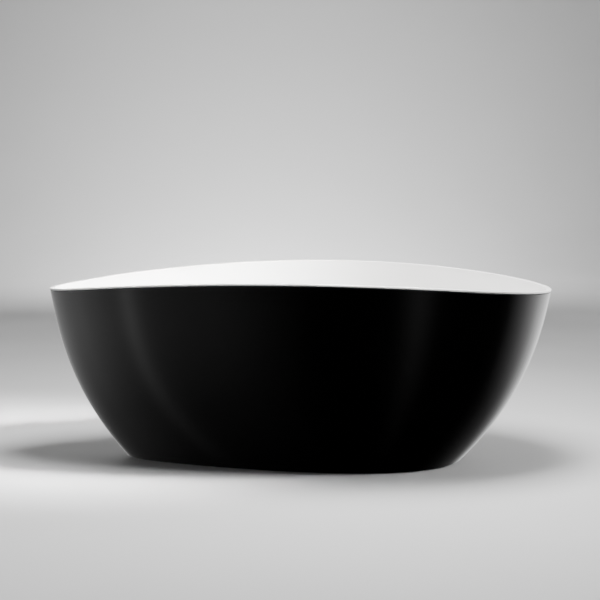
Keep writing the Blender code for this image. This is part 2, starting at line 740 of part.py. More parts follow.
def make_overflow_elbow(axis):
    """Behind the bowl's wall: the gasket, and the elbow whose spigot points down to the hose."""
    back = -WALL - OVERFLOW_STANDOFF
    face = back - 0.002 - GAP
    gasket = ring_of("overflow_gasket", OVERFLOW_HOLE + 0.0005, ELBOW_FLANGE_RADIUS - 0.0005, face + GAP, back)
    finish(gasket, "rubber", axis)
    cup = [
        (ELBOW_BORE, face),
        (ELBOW_FLANGE_RADIUS, face),
        (ELBOW_FLANGE_RADIUS, face - ELBOW_FLANGE),
        (ELBOW_RADIUS, face - ELBOW_FLANGE),
        (ELBOW_RADIUS, ELBOW_END),
        (0.0, ELBOW_END),
        (0.0, ELBOW_END + 0.0022),
        (ELBOW_BORE, ELBOW_END + 0.0022),
    ]
    elbow = finish(turned("overflow_elbow", cup, 24), "plastic", axis)
    depths = (0.0, 0.0015 - ELBOW_RADIUS, -SPIGOT_REACH, -SPIGOT_REACH - 0.010)
    middle, near, end, beyond = ((0, y, -SPIGOT_DEPTH) for y in depths)
    spigot = rod("elbow_spigot", SPIGOT_RADIUS, near, end)
    bore = rod("elbow_spigot_bore", SPIGOT_BORE, middle, beyond)
    boolean(elbow, tool(spigot, axis), "UNION")
    boolean(elbow, tool(bore, axis), "DIFFERENCE")


def smooth_route(points, steps=3):
    """A Catmull-Rom curve through the points, with a few steps between each two."""
    ends = [2 * points[0] - points[1], *points, 2 * points[-1] - points[-2]]
    route = []
    for a, b, c, d in zip(ends, ends[1:], ends[2:], ends[3:]):
        for k in range(steps):
            t = k / steps
            even = 2 * b + (c - a) * t + (2 * a - 5 * b + 4 * c - d) * t**2
            route.append((even + (3 * b - a - 3 * c + d) * t**3) / 2)
    return [*route, points[-1]]


def make_clamp(name, middle, along):
    """A band round the hose's end, where it sits on a spigot."""
    start, end = middle - along * CLAMP_WIDTH / 2, middle + along * CLAMP_WIDTH / 2
    clamp = finish(rod(name, CLAMP_RADIUS, start, end, 20), "steel")
    inside = rod(f"{name}_bore", HOSE_RADIUS + GAP, start - along * 0.01, end + along * 0.01, 20)
    boolean(clamp, tool(inside), "DIFFERENCE")


def make_hose(axis):
    """The overflow's hose, held by a clamp on each spigot, between the skirt and the bowl."""
    bpy.context.view_layer.update()
    top = [axis.matrix_world @ Vector((0, y, -SPIGOT_DEPTH)) for y in HOSE_TOP]
    middle = [Vector((0.0, y, z)) for y, z in HOSE_FALL]
    bottom = [Vector((0.0, y, BRANCH_HEIGHT)) for y in HOSE_END]
    route = smooth_route([*top, *middle, *bottom])
    hose = finish(as_mesh(tube("overflow_hose", route, HOSE_RADIUS)), "hose")
    beyond = [route[0] + (route[0] - route[1]).normalized() * 0.005]
    beyond += [*route, route[-1] + (route[-1] - route[-2]).normalized() * 0.005]
    bore = tool(as_mesh(tube("hose_bore", beyond, HOSE_BORE)))
    boolean(hose, bore, "DIFFERENCE")
    for name, near, far in (("upper", route[0], route[1]), ("lower", route[-1], route[-2])):
        along = (far - near).normalized()
        make_clamp(f"hose_clamp_{name}", near + along * CLAMP_WIDTH, along)


bowl_object = make_bowl()
make_skirt()
make_seal()
board_object = make_board()
make_feet(make_frame(board_object))
waste_axis = new_axis("waste_axis", (0.0, 0.0, 0.0))
make_plug(waste_axis, make_drain(waste_axis))
make_waste(waste_axis)
overflow_axis = overflow_frame()
overflow_hole = rod("overflow_hole", OVERFLOW_HOLE, (0, 0, -4 * WALL), (0, 0, 4 * WALL), 24)
boolean(bowl_object, tool(overflow_hole, overflow_axis), "DIFFERENCE")
make_overflow_trim(overflow_axis)
make_overflow_elbow(overflow_axis)
make_hose(overflow_axis)
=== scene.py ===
import json
import math

import bmesh
import bpy
from mathutils import Matrix, Vector


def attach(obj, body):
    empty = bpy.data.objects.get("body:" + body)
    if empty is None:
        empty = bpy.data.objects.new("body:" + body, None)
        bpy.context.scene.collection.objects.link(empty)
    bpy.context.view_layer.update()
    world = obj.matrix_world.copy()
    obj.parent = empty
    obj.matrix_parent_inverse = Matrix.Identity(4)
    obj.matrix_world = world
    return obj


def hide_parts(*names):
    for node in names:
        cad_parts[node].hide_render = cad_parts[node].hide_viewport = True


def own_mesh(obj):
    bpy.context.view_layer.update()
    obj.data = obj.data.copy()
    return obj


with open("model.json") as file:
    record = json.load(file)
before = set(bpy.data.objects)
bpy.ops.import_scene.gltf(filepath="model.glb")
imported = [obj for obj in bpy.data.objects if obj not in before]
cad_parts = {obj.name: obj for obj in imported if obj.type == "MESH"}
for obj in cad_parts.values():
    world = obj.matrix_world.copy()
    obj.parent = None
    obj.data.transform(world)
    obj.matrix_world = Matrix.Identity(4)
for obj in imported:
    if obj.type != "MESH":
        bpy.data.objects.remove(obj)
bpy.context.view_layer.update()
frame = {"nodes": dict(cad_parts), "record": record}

scene = bpy.context.scene
print("frame loaded")


def hexColor(text, alpha=1.0):
    # an sRGB hex value as linear light
    shares = [int(text[i:i + 2], 16) / 255 for i in (1, 3, 5)]
    linear = [s / 12.92 if s <= 0.04045 else ((s + 0.055) / 1.055) ** 2.4 for s in shares]
    return (*linear, alpha)


def setSockets(tree, node, **sockets):
    # a socket is named, or numbered as i0, i1; it takes a plain value or another node's output
    for name, value in sockets.items():
        numbered = name[0] == "i" and name[1:].isdigit()
        socket = node.inputs[int(name[1:]) if numbered else name.replace("_", " ")]
        if isinstance(value, bpy.types.NodeSocket):
            tree.links.new(value, socket)
        else:
            socket.default_value = value


def addNode(tree, kind, settings=None, **sockets):
    # a node with its settings and its links
    node = tree.nodes.new(kind)
    for name, value in (settings or {}).items():
        setattr(node, name, value)
    setSockets(tree, node, **sockets)
    return node


def newMaterial(name):
    material = bpy.data.materials.new(name)
    material.use_nodes = True
    tree = material.node_tree
    tree.nodes.clear()
    shader = addNode(tree, "ShaderNodeBsdfPrincipled")
    addNode(tree, "ShaderNodeOutputMaterial", Surface=shader.outputs["BSDF"])
    return material, tree, shader


def placeInSpace(tree):
    return addNode(tree, "ShaderNodeTexCoord").outputs["Object"]


def noiseAt(tree, where, grain, detail=3.0, roughness=0.5):
    # grain is the size of one patch in metres
    sockets = {"Vector": where, "Scale": 1 / grain, "Detail": detail, "Roughness": roughness}
    return addNode(tree, "ShaderNodeTexNoise", **sockets).outputs["Fac"]


def between(tree, factor, low, high):
    # a factor from 0.3 to 0.7, where noise lives, spread between two values
    return addNode(tree, "ShaderNodeMapRange", i0=factor, i1=0.3, i2=0.7, i3=low, i4=high).outputs[0]


def mixColors(tree, factor, first, second):
    ramp = addNode(tree, "ShaderNodeValToRGB", Fac=factor)
    ramp.color_ramp.elements[0].position = 0.3
    ramp.color_ramp.elements[1].position = 0.7
    ramp.color_ramp.elements[0].color = hexColor(first)
    ramp.color_ramp.elements[1].color = hexColor(second)
    return ramp.outputs["Color"]


def bumpFrom(tree, height, distance, strength=1.0, under=None):
    node = addNode(tree, "ShaderNodeBump", Height=height, Distance=distance, Strength=strength)
    if under is not None:
        tree.links.new(under, node.inputs["Normal"])
    return node.outputs["Normal"]


def castAcrylic():
    # cast acrylic sheet, vacuum formed and polished: a clean white with a broad soft shine
    material, tree, shader = newMaterial("cast acrylic, white, polished")
    where = placeInSpace(tree)
    cloud = noiseAt(tree, where, 0.25)
    fine = noiseAt(tree, where, 0.012)
    setSockets(
        tree, shader,
        Base_Color=mixColors(tree, cloud, "#DAD9D7", "#E0DFDD"),
        Roughness=between(tree, fine, 0.16, 0.22),
        IOR=1.49,
        Normal=bumpFrom(tree, cloud, 0.0004),
    )
    return material


def satinGelcoat():
    # pigmented gelcoat rubbed to satin: nearly no diffuse light, a dim soft shine that wakes at the edges
    material, tree, shader = newMaterial("gelcoat, black, satin")
    where = placeInSpace(tree)
    cloud = noiseAt(tree, where, 0.18)
    peel = noiseAt(tree, where, 0.004, 2.0)
    setSockets(
        tree, shader,
        Base_Color=mixColors(tree, cloud, "#010101", "#020202"),
        Roughness=between(tree, peel, 0.13, 0.17),
        IOR=1.3,
        Normal=bumpFrom(tree, peel, 0.00001),
    )
    return material


def mouldedRubber():
    # moulded nitrile rubber: a dull black with a faint bloom
    material, tree, shader = newMaterial("nitrile rubber, moulded")
    where = placeInSpace(tree)
    grit = noiseAt(tree, where, 0.0015)
    setSockets(
        tree, shader,
        Base_Color=mixColors(tree, grit, "#141414", "#1E1E1D"),
        Roughness=between(tree, grit, 0.6, 0.8),
        Normal=bumpFrom(tree, grit, 0.00005),
    )
    return material


def platedChrome():
    # chrome on polished brass: a cool mirror with the slightest waver from buffing
    material, tree, shader = newMaterial("chrome plate, polished")
    where = placeInSpace(tree)
    waver = noiseAt(tree, where, 0.008)
    setSockets(
        tree, shader,
        Base_Color=mixColors(tree, waver, "#BABCBF", "#C8CACC"),
        Metallic=1.0,
        Roughness=between(tree, waver, 0.06, 0.11),
        Normal=bumpFrom(tree, waver, 0.00001),
    )
    return material


def zincSteel():
    # bright zinc plate on drawn steel: grey-blue metal, a little mottled by the bath
    material, tree, shader = newMaterial("zinc plate, bright")
    where = placeInSpace(tree)
    mottle = noiseAt(tree, where, 0.006)
    setSockets(
        tree, shader,
        Base_Color=mixColors(tree, mottle, "#B4B8BC", "#CDD0D2"),
        Metallic=1.0,
        Roughness=between(tree, mottle, 0.28, 0.42),
        Normal=bumpFrom(tree, mottle, 0.00003),
    )
    return material


def sealedChipboard():
    # chipboard brushed with resin: warm flakes under an uneven gloss
    material, tree, shader = newMaterial("chipboard, resin sealed")
    where = placeInSpace(tree)
    flakes = addNode(tree, "ShaderNodeTexVoronoi", Vector=where, Scale=1 / 0.006).outputs["Color"]
    grey = addNode(tree, "ShaderNodeSeparateColor", Color=flakes).outputs[0]
    resin = noiseAt(tree, where, 0.05)
    setSockets(
        tree, shader,
        Base_Color=mixColors(tree, grey, "#A98B5E", "#CBB186"),
        Roughness=between(tree, resin, 0.35, 0.6),
        Normal=bumpFrom(tree, grey, 0.0003),
    )
    return material


def mouldedPolypropylene():
    # injection moulded polypropylene: a soft grey-black with a fine spark-eroded grain
    material, tree, shader = newMaterial("polypropylene, moulded")
    where = placeInSpace(tree)
    grain = noiseAt(tree, where, 0.0008)
    setSockets(
        tree, shader,
        Base_Color=mixColors(tree, grain, "#1B1B1C", "#252526"),
        Roughness=between(tree, grain, 0.42, 0.55),
        IOR=1.49,
        Normal=bumpFrom(tree, grain, 0.00004),
    )
    return material


def softVinyl():
    # plasticised PVC hose: flat grey, with the rings of its wound wall
    material, tree, shader = newMaterial("PVC hose, wound")
    where = placeInSpace(tree)
    winding = {"bands_direction": "Z"}
    rings = addNode(tree, "ShaderNodeTexWave", winding, Vector=where, Scale=1 / 0.02).outputs["Fac"]
    dust = noiseAt(tree, where, 0.01)
    setSockets(
        tree, shader,
        Base_Color=mixColors(tree, dust, "#9A9C9D", "#A9ABAC"),
        Roughness=between(tree, dust, 0.45, 0.6),
        IOR=1.52,
        Normal=bumpFrom(tree, rings, 0.0006),
    )
    return material


finishes = {
    "white_acrylic": castAcrylic(),
    "black_acrylic": satinGelcoat(),
    "black_rubber": mouldedRubber(),
    "sealed_board": sealedChipboard(),
    "zinc_steel": zincSteel(),
    "chromed_brass": platedChrome(),
    "waste_plastic": mouldedPolypropylene(),
    "grey_hose": softVinyl(),
}
for part in frame["record"]["subparts"]:
    cadPart = frame["nodes"][part["node"]]
    cadPart.data.materials.clear()
    cadPart.data.materials.append(finishes[part["material_slot"]])
print("materials made")


tub = {
    "length": 1.700,
    "rimHalfWidth": 0.380,
    "rimEgg": (0.317, 0.011),  # the half width's growth with the cosine and its square
    "crownHeight": 0.642,
    "endHeight": 0.586,
    "footHalfLength": 0.572,
    "footHalfWidth": 0.231,
    "footEgg": (0.452, 0.064),
    "footShift": -0.018,
    "skinPower": 2.56,
    "skinSlope": 0.37,
    "wall": 0.005,
    "floorClearance": 0.003,
}
lip = {
    "width": 0.017,
    "edge": 0.006,
    "round": 0.002,
    "joint": 0.0025,  # between the lip and the skirt
    "pointsInRound": 5,
    "chamfer": (0.0006, 0.0008),  # across and up, at its lower outer edge
    "face": 0.0035,
    "crown": 0.0002,
}
bowl = {
    "floor": 0.135,
    "halfLength": 0.500,
    "halfWidth": 0.170,
    "egg": (0.40, 0.03),
    "shift": -0.010,
    "power": 0.65,
    "rings": 44,
    "dish": [  # radius and height, from the floor down to the drain's hole
        (0.105, 0.135), (0.085, 0.135), (0.075, 0.1348), (0.066, 0.1336), (0.050, 0.1303),
        (0.040, 0.1291), (0.036, 0.129), (0.0255, 0.129),
    ],
}
skirt = {"rings": 40, "gathering": 1.2, "softening": 0.0012, "softeningSteps": 4}
seal = {"inset": 0.0018, "under": 0.0003, "outerHeight": 0.0012, "innerHeight": 0.0006}
roundCount = 288  # points round the tub


def eggPoint(angle, halfLength, halfWidth, egg, shift=0.0):
    cosine = math.cos(angle)
    width = halfWidth * (1 + egg[0] * cosine + egg[1] * cosine ** 2)
    return Vector((halfLength * cosine + shift, width * math.sin(angle)))


def rimPlan(angle):
    return eggPoint(angle, tub["length"] / 2, tub["rimHalfWidth"], tub["rimEgg"])


def rimHeight(x):
    return tub["crownHeight"] - (tub["crownHeight"] - tub["endHeight"]) * (2 * x / tub["length"]) ** 2


def rimPoint(angle, inset, drop):
    step = 0.001
    along = (rimPlan(angle + step) - rimPlan(angle - step)).normalized()
    edge = rimPlan(angle)
    flat = edge + Vector((-along.y, along.x)) * inset
    return Vector((*flat, rimHeight(edge.x) - drop))


def skinPoint(angle, share):
    # share 0 is the floor, 1 the rim
    foot = eggPoint(angle, tub["footHalfLength"], tub["footHalfWidth"], tub["footEgg"], tub["footShift"])
    rim = rimPlan(angle)
    curved = 1 - (1 - share) ** tub["skinPower"]
    spread = (1 - tub["skinSlope"]) * curved + tub["skinSlope"] * share
    return Vector((*foot.lerp(rim, spread), share * rimHeight(rim.x)))


def bowlPoint(angle, share):
    # share 0 is the bowl's floor, 1 the lip
    foot = eggPoint(angle, bowl["halfLength"], bowl["halfWidth"], bowl["egg"], bowl["shift"])
    top = rimPoint(angle, lip["width"], lip["round"])
    height = bowl["floor"] + (top.z - bowl["floor"]) * share
    return Vector((*foot.lerp(top.xy, share ** bowl["power"]), height))


def ringOf(pointAt):
    return [pointAt(2 * math.pi * i / roundCount) for i in range(roundCount)]


def circleRing(radius, height):
    return ringOf(lambda a: Vector((radius * math.cos(a), radius * math.sin(a), height)))


def offsetRings(rings, distance):
    # the rings moved along the normals of the surface through them
    moved = []
    for k, ring in enumerate(rings):
        before, after = rings[max(k - 1, 0)], rings[min(k + 1, len(rings) - 1)]
        row = []
        for j, point in enumerate(ring):
            side = ring[(j + 1) % len(ring)] - ring[j - 1]
            row.append(point + side.cross(after[j] - before[j]).normalized() * distance)
        moved.append(row)
    return moved


def loft(name, rings, finish, sharpAngle=50):
    # quads through rings of equal counts, the last joined to the first
    work = bmesh.new()
    rows = [[work.verts.new(p) for p in ring] for ring in rings]
    for lower, upper in zip(rows, rows[1:] + rows[:1]):
        for i in range(len(lower)):
            j = (i + 1) % len(lower)
            work.faces.new((lower[i], lower[j], upper[j], upper[i]))
    mesh = bpy.data.meshes.new(name)
    work.to_mesh(mesh)
    work.free()
    mesh.shade_smooth()
    mesh.set_sharp_from_angle(angle=math.radians(sharpAngle))
    mesh.materials.append(finishes[finish])
    piece = bpy.data.objects.new(name, mesh)
    scene.collection.objects.link(piece)
    return piece


def quarterRound(radius, count):
    # (across, down) from the outer side up to the top, of a rounded edge
    turns = [math.pi / 2 * k / count for k in range(count + 1)]
    return [(radius * (1 - math.cos(t)), radius * (1 - math.sin(t))) for t in turns]


def dressed(piece, body, finish, *nodes):
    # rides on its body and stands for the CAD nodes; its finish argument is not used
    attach(piece, body)
    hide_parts(*nodes)
    return piece


def makeBowl():
    edge = quarterRound(lip["round"], lip["pointsInRound"])
    across, up = lip["chamfer"]
    section = [(across, lip["edge"]), (0.0, lip["edge"] - up), (0.0, lip["face"])] + edge
    section += [(lip["width"] / 2, -lip["crown"])]
    section += [(lip["width"] - across, down) for across, down in reversed(edge)]
    top = [ringOf(lambda a: rimPoint(a, across, down)) for across, down in section[:-1]]
    shares = [(1 - k / bowl["rings"]) ** 2 for k in range(bowl["rings"] + 1)]
    face = [ringOf(lambda a: bowlPoint(a, share)) for share in shares]
    face += [circleRing(radius, height) for radius, height in bowl["dish"]]
    hidden = offsetRings(face, -tub["wall"])[:0:-1]
    under = [ringOf(lambda a: rimPoint(a, lip["width"] - tub["wall"], lip["edge"]))]
    piece = loft("bowl", top + face + hidden + under, "white_acrylic")
    return dressed(piece, "tub", "white_acrylic", "inner_basin")


def makeSkirt():
    rows = skirt["rings"]

    def shareAt(angle, k):
        height = rimHeight(rimPlan(angle).x)
        low, high = tub["floorClearance"] / height, 1 - (lip["edge"] + lip["joint"]) / height
        return low + (high - low) * (k / rows) ** skirt["gathering"]

    outer = [ringOf(lambda a: skinPoint(a, shareAt(a, k))) for k in range(rows + 1)]
    inner = offsetRings(outer, -tub["wall"])
    for mine, other in ((inner[0], outer[0]), (inner[-1], outer[-1])):
        for point, level in zip(mine, other):
            point.z = level.z
    piece = loft("skirt", outer + inner[::-1], "black_acrylic")
    bevel = piece.modifiers.new("softened edges", "BEVEL")
    bevel.width = skirt["softening"]
    bevel.segments = skirt["softeningSteps"]
    bevel.limit_method = "ANGLE"
    bevel.angle_limit = math.radians(50)
    return dressed(piece, "tub", "black_acrylic", "outer_shell")


def makeSeal():
    outer, inner, high = seal["inset"], tub["wall"], lip["edge"] + seal["under"]
    section = [(outer, high + seal["outerHeight"]), (outer, high)]
    section += [(inner, high), (inner, high + seal["innerHeight"])]
    rings = [ringOf(lambda a: rimPoint(a, across, down)) for across, down in section]
    piece = loft("rimSeal", rings, "black_rubber")
    return dressed(piece, "tub", "black_rubber", "rim_seal")


makeBowl()
makeSkirt()
makeSeal()
print("shells made")


# the fittings' sizes, from the working model
drain = {
    "base": 0.1306,  # height of the flange's underside
    "height": 0.0044,
    "radius": 0.0365,
    "bore": 0.0205,
    "tail": 0.0235,
    "tailEnd": 0.080,
    "hubRadius": 0.0105,
    "hub": (0.112, 0.118),
    "spokeWidth": 0.003,
    "stemHole": 0.0043,
}
plug = {
    "travel": 0.009,
    "radius": 0.033,
    "height": 0.0045,
    "edge": 0.0014,
    "bossRadius": 0.015,
    "boss": 0.006,
    "sealRadius": 0.0265,
    "seal": 0.002,
    "stemHole": 0.0043,
}
spring = {"radius": 0.008, "wire": 0.0008, "turns": 5, "base": 0.1183, "stepsATurn": 36, "stepsRound": 10}
overflow = {
    "share": 0.66,  # of the bowl's depth, up from its floor
    "hole": 0.0245,
    "standoff": 0.0014,
    "bore": 0.0205,
    "collarRadius": 0.031,
    "collar": 0.0018,
    "collarEnd": -0.012,
    "web": (-0.009, -0.005),
    "webWidth": 0.007,
    "coverRadius": 0.033,
    "cover": (0.0045, 0.0117),
    "coverWall": 0.002,
    "coverBoss": 0.006,
    "boltRadius": 0.0024,
    "boltHead": 0.0045,
    "boltHeight": 0.002,
    "keyRadius": 0.0015,
    "keyDepth": 0.0012,
}
gap = 0.0003  # between faces that touch
turnedSteps = 96


def turned(work, section, steps=turnedSteps):
    # a section of (radius, height) turned round the axis; a radius of 0 closes it with a point
    rows = []
    for radius, height in section:
        if radius == 0:
            rows.append([work.verts.new((0, 0, height))] * steps)
            continue
        angles = [2 * math.pi * i / steps for i in range(steps)]
        circle = [(radius * math.cos(a), radius * math.sin(a), height) for a in angles]
        rows.append([work.verts.new(point) for point in circle])
    closed = section[0][0] > 0 and section[-1][0] > 0
    for lower, upper in zip(rows, rows[1:] + rows[:1] if closed else rows[1:]):
        for i in range(steps):
            j = (i + 1) % steps
            corners = dict.fromkeys((lower[i], lower[j], upper[j], upper[i]))
            if len(corners) > 2:
                work.faces.new(list(corners))


def addBlock(work, low, high):
    # a box between two corners
    size = [b - a for a, b in zip(low, high)]
    middle = [(a + b) / 2 for a, b in zip(low, high)]
    place = Matrix.Translation(middle) @ Matrix.Diagonal((*size, 1))
    bmesh.ops.create_cube(work, size=1, matrix=place)


def fitting(name, work, finish, place, softened=0.0):
    # a small piece from its faces, softened at its edges and set on its axis
    bmesh.ops.recalc_face_normals(work, faces=work.faces[:])
    mesh = bpy.data.meshes.new(name)
    work.to_mesh(mesh)
    work.free()
    mesh.shade_smooth()
    mesh.set_sharp_from_angle(angle=math.radians(35))
    mesh.materials.append(finishes[finish])
    piece = bpy.data.objects.new(name, mesh)
    scene.collection.objects.link(piece)
    piece.matrix_world = place
    if softened:
        bevel = piece.modifiers.new("softened edges", "BEVEL")
        bevel.width = softened
        bevel.segments = 2
        bevel.limit_method = "ANGLE"
        bevel.angle_limit = math.radians(35)
    return piece


def makeDrain():
    base, top = drain["base"], drain["base"] + drain["height"]
    section = [(drain["bore"], top - 0.002), (drain["bore"] + 0.0004, top - 0.0008)]
    section += [(drain["bore"] + 0.0014, top), (drain["radius"] - 0.004, top)]
    section += [(drain["radius"] - 0.0022, top - 0.0005), (drain["radius"] - 0.0009, top - 0.0014)]
    section += [(drain["radius"], top - 0.0028), (drain["radius"], base), (drain["tail"], base)]
    section += [(drain["tail"], drain["tailEnd"]), (drain["bore"], drain["tailEnd"])]
    work = bmesh.new()
    turned(work, section)
    low, high = drain["hub"]
    hole, hub = drain["stemHole"], drain["hubRadius"]
    turned(work, [(hole, low), (hub, low), (hub, high), (hole, high)])
    reach, half = (drain["bore"] + drain["tail"]) / 2, drain["spokeWidth"] / 2
    near = drain["hubRadius"] - 0.002
    for side in (-1, 1):
        ends = sorted((side * near, side * reach))
        addBlock(work, (ends[0], -half, low + 0.001), (ends[1], half, high - 0.001))
        addBlock(work, (-half, ends[0], low + 0.001), (half, ends[1], high - 0.001))
    piece = fitting("drainFlange", work, "chromed_brass", Matrix(), 0.0002)
    dressed(piece, "tub", "chromed_brass", "drain_flange")


def makePlug():
    sealBase = drain["base"] + drain["height"] + gap + plug["travel"]
    base = sealBase + plug["seal"] + gap
    top, boss = base + plug["height"], base - plug["boss"]
    radius, edge = plug["radius"], plug["edge"]
    section = [(0.0, top)] + [(radius * k / 8, top - 0.0002 * (k / 8) ** 2) for k in range(1, 8)]
    rounding = [math.radians(15 * k) for k in range(7)]
    across, rimTop = radius - edge, top - 0.0003
    section += [(across + edge * math.sin(t), rimTop - edge * (1 - math.cos(t))) for t in rounding]
    section += [(radius, base + 0.0003), (radius - 0.0003, base), (plug["bossRadius"], base)]
    section += [(plug["bossRadius"], boss), (plug["stemHole"], boss), (plug["stemHole"], base - 0.0005)]
    section += [(0.0, base - 0.0005)]
    work = bmesh.new()
    turned(work, section)
    dressed(fitting("plugCap", work, "chromed_brass", Matrix()), "plug", "chromed_brass", "plug_cap")
    low, high = sealBase, sealBase + plug["seal"]
    inner, outer = plug["bossRadius"] + gap, plug["sealRadius"]
    section = [(inner, low), (outer - 0.0006, low), (outer - 0.0001, low + 0.0004), (outer, low + 0.0009)]
    section += [(outer, high - 0.0003), (outer - 0.0003, high), (inner, high)]
    work = bmesh.new()
    turned(work, section)
    dressed(fitting("plugSeal", work, "black_rubber", Matrix()), "plug", "black_rubber", "plug_seal")
    return boss


def makeSpring(boss):
    # a round wire wound up to the plug's boss, with its ends turned in flat
    low, high = spring["base"] + spring["wire"], boss - spring["wire"] - gap
    count = spring["turns"] * spring["stepsATurn"]
    work = bmesh.new()
    rows = []
    for i in range(count + 1):
        share = i / count
        angle = 2 * math.pi * i / spring["stepsATurn"]
        out = Vector((math.cos(angle), math.sin(angle), 0))
        middle = out * spring["radius"] + Vector((0, 0, low + (high - low) * share))
        ring = [2 * math.pi * k / spring["stepsRound"] for k in range(spring["stepsRound"])]
        wire = spring["wire"]
        offsets = [out * (wire * math.cos(t)) + Vector((0, 0, wire * math.sin(t))) for t in ring]
        rows.append([work.verts.new(middle + offset) for offset in offsets])
    for lower, upper in zip(rows, rows[1:]):
        for k in range(len(lower)):
            j = (k + 1) % len(lower)
            work.faces.new((lower[k], lower[j], upper[j], upper[k]))
    work.faces.new(rows[0])
    work.faces.new(rows[-1])
    piece = fitting("plugSpring", work, "zinc_steel", Matrix())
    dressed(piece, "plug", "zinc_steel", "plug_spring")
    return piece


def overflowPlace():
    # its axis in the back wall: Z points into the bowl and Y up the wall
    angle, step = math.pi / 2, 0.01
    place = bowlPoint(angle, overflow["share"])
    up = (bowlPoint(angle, overflow["share"] + step) - place).normalized()
    side = (bowlPoint(angle - step, overflow["share"]) - place).normalized()
    inwards = side.cross(up).normalized()
    turn = Matrix((side, inwards.cross(side), inwards)).transposed().to_4x4()
    return Matrix.Translation(place) @ turn


def makeOverflow():
    place = overflowPlace()
    tail, foot = overflow["hole"] - 0.0013, overflow["standoff"]
    top, end, bore = foot + overflow["collar"], overflow["collarEnd"], overflow["bore"]
    outer = overflow["collarRadius"]
    work = bmesh.new()
    section = [(bore, top - 0.0004), (bore + 0.0004, top), (outer - 0.0012, top)]
    section += [(outer - 0.0004, top - 0.0003), (outer, top - 0.0011), (outer, foot)]
    section += [(tail, foot), (tail, end), (bore, end)]
    turned(work, section)
    back, front = overflow["web"]
    half, clear = overflow["webWidth"] / 2, overflow["boltRadius"] + gap
    turned(work, [(clear, back), (half, back), (half, front), (clear, front)], 48)
    reach = (tail + bore) / 2
    for side in (-1, 1):
        ends = sorted((side * clear, side * reach))
        addBlock(work, (ends[0], -half, back), (ends[1], half, front))
    piece = fitting("overflowCollar", work, "chromed_brass", place)
    dressed(piece, "tub", "chromed_brass", "overflow_collar")

    low, high = overflow["cover"]
    radius, wall = overflow["coverRadius"], overflow["coverWall"]
    edge = 0.0016
    rounding = [math.radians(15 * k) for k in range(7)]
    section = [(clear, high - 0.0002), (clear + 0.0002, high), (radius - edge, high)]
    section += [(radius - edge + edge * math.sin(t), high - edge * (1 - math.cos(t))) for t in rounding[1:]]
    inner, boss = radius - wall, overflow["coverBoss"]
    section += [(radius, low + 0.0002), (radius - 0.0002, low), (inner + 0.0002, low), (inner, low + 0.0002)]
    section += [(inner, high - wall), (boss, high - wall), (boss, front + gap), (clear, front + gap)]
    work = bmesh.new()
    turned(work, section)
    piece = fitting("overflowCover", work, "chromed_brass", place)
    dressed(piece, "tub", "chromed_brass", "overflow_cover")

    seat, head = high + gap, overflow["boltHead"]
    crown = seat + overflow["boltHeight"]
    key = overflow["keyRadius"]
    keyFloor = crown - overflow["keyDepth"]
    section = [(0.0, keyFloor), (key, keyFloor), (key, crown - 0.0001)]
    section += [(key + 0.0002, crown), (head - 0.0015, crown - 0.0001), (head - 0.0006, crown - 0.0005)]
    section += [(head - 0.0001, crown - 0.0011), (head, seat + 0.0004), (head, seat)]
    section += [(overflow["boltRadius"], seat), (overflow["boltRadius"], end), (0.0, end)]
    work = bmesh.new()
    turned(work, section, 48)
    piece = fitting("overflowBolt", work, "chromed_brass", place)
    dressed(piece, "tub", "chromed_brass", "overflow_bolt")
    return place


makeDrain()
plugBoss = makePlug()
plugSpring = makeSpring(plugBoss)
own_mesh(plugSpring)
makeOverflow()
print("fittings made")


studio = {
    "floorRadius": 5.6,
    "sweepRadius": 2.6,
    "wallHeight": 5.5,
    "stepsRound": 128,
    "floorRings": 6,
    "bendRings": 16,
    "paper": "#BEBEBE",
}


def makeStudio():
    # a round sweep: a floor that turns up into a wall on all sides
    flat, bend = studio["floorRadius"], studio["sweepRadius"]
    floorRings, bendRings = studio["floorRings"], studio["bendRings"]
    profile = [(flat * k / floorRings, 0.0) for k in range(1, floorRings + 1)]
    turns = [math.pi / 2 * k / bendRings for k in range(1, bendRings + 1)]
    profile += [(flat + bend * math.sin(t), bend * (1 - math.cos(t))) for t in turns]
    profile.append((flat + bend, studio["wallHeight"]))
    steps = studio["stepsRound"]
    angles = [2 * math.pi * i / steps for i in range(steps)]
    work = bmesh.new()
    middle = work.verts.new((0, 0, 0))
    rows = []
    for radius, height in profile:
        ring = [(radius * math.cos(a), radius * math.sin(a), height) for a in angles]
        rows.append([work.verts.new(point) for point in ring])
    for i in range(steps):
        j = (i + 1) % steps
        work.faces.new((middle, rows[0][i], rows[0][j]))
        for lower, upper in zip(rows, rows[1:]):
            work.faces.new((lower[i], upper[i], upper[j], lower[j]))
    mesh = bpy.data.meshes.new("studioSweep")
    work.to_mesh(mesh)
    work.free()
    mesh.shade_smooth()
    sweep = bpy.data.objects.new("studioSweep", mesh)
    scene.collection.objects.link(sweep)
    material, tree, shader = newMaterial("studio paper, matt")
    mottle = noiseAt(tree, placeInSpace(tree), 0.4)
    paper = hexColor(studio["paper"])
    setSockets(tree, shader, Base_Color=paper, Roughness=between(tree, mottle, 0.7, 0.85), IOR=1.4)
    mesh.materials.append(material)
    sweep.visible_glossy = False  # the tub mirrors the light tent beyond it
    sweep.visible_shadow = False


def aimAt(thing, target):
    thing.rotation_euler = (Vector(target) - thing.location).to_track_quat("-Z", "Y").to_euler()


